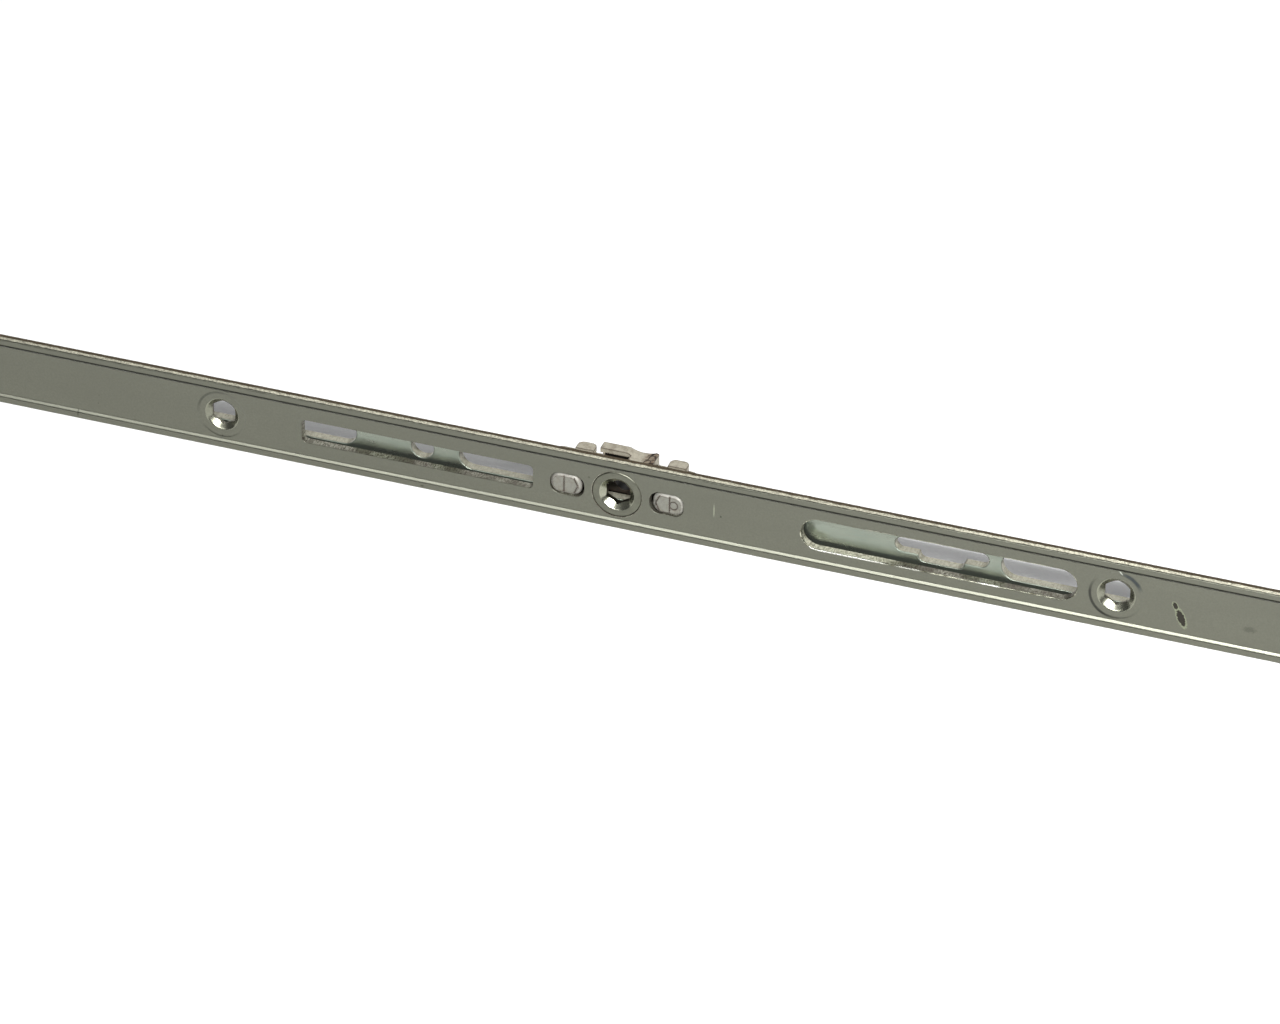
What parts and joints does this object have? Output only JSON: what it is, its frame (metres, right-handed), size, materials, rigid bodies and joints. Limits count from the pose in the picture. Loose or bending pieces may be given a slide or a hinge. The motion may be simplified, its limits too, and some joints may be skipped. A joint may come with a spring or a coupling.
{
  "type": "window espagnolette",
  "caption": "Flat faceplate with a sliding drive rod behind it, moved by a rack and pinion gearbox with a square spindle hole, and roller cams that lock into the frame.",
  "frame": {"origin": "on the middle screw seat's axis, in the plane of the faceplate's front rails", "axes": "+X along the faceplate, +Y back into the sash groove, +Z across the faceplate's width and along the handle's spindle"},
  "size_m": [0.5872, 0.0501, 0.016],
  "materials": {
    "passivated_steel": "satin passivated zinc, olive grey",
    "rod_steel": "bright zinc, bluish",
    "bush_steel": "turned, zinc plated",
    "cast_zinc": "die-cast zinc alloy, as cast",
    "fastener_steel": "zinc plated",
    "gear_steel": "sintered steel",
    "cam_steel": "turned, zinc plated"
  },
  "bodies": {
    "fixed": {"faceplate": "passivated_steel", "mid_bush": "bush_steel", "mid_guide_block": "cast_zinc", "left_end_bush": "bush_steel", "left_end_guide": "cast_zinc", "right_end_bush": "bush_steel", "right_end_guide": "cast_zinc", "gearbox_body": "cast_zinc", "gearbox_cover": "cast_zinc", "gearbox_rivets": "fastener_steel", "gearbox_screws": "fastener_steel"},
    "rod": {"drive_rod": "rod_steel", "rack": "gear_steel", "rack_rivets": "fastener_steel", "left_cam_stud": "cam_steel", "left_cam_washer": "fastener_steel", "right_cam_stud": "cam_steel", "right_cam_washer": "fastener_steel"},
    "pinion": {"drive_pinion": "gear_steel"},
    "left_roller": {"left_cam_roller": "cam_steel"},
    "right_roller": {"right_cam_roller": "cam_steel"}
  },
  "joints": [
    {"name": "rod_slide", "type": "slide", "parent": "fixed", "child": "rod", "axis": [1, 0, 0], "range_m": [-0.018, 0.018]},
    {"name": "pinion_turn", "type": "hinge", "parent": "fixed", "child": "pinion", "pos_m": [-0.202, 0.025, 0], "axis": [0, 0, 1], "range_deg": [-90.01, 90.01]},
    {"name": "left_roller_spin", "type": "hinge", "parent": "rod", "child": "left_roller", "pos_m": [-0.2852, -0.0045, 0], "axis": [0, 1, 0], "continuous": true},
    {"name": "right_roller_spin", "type": "hinge", "parent": "rod", "child": "right_roller", "pos_m": [0.17, -0.0045, 0], "axis": [0, 1, 0], "continuous": true}
  ],
  "couplings": [
    {"joint": "pinion_turn", "follows": "rod_slide", "rad_per_m": 87.266}
  ]
}
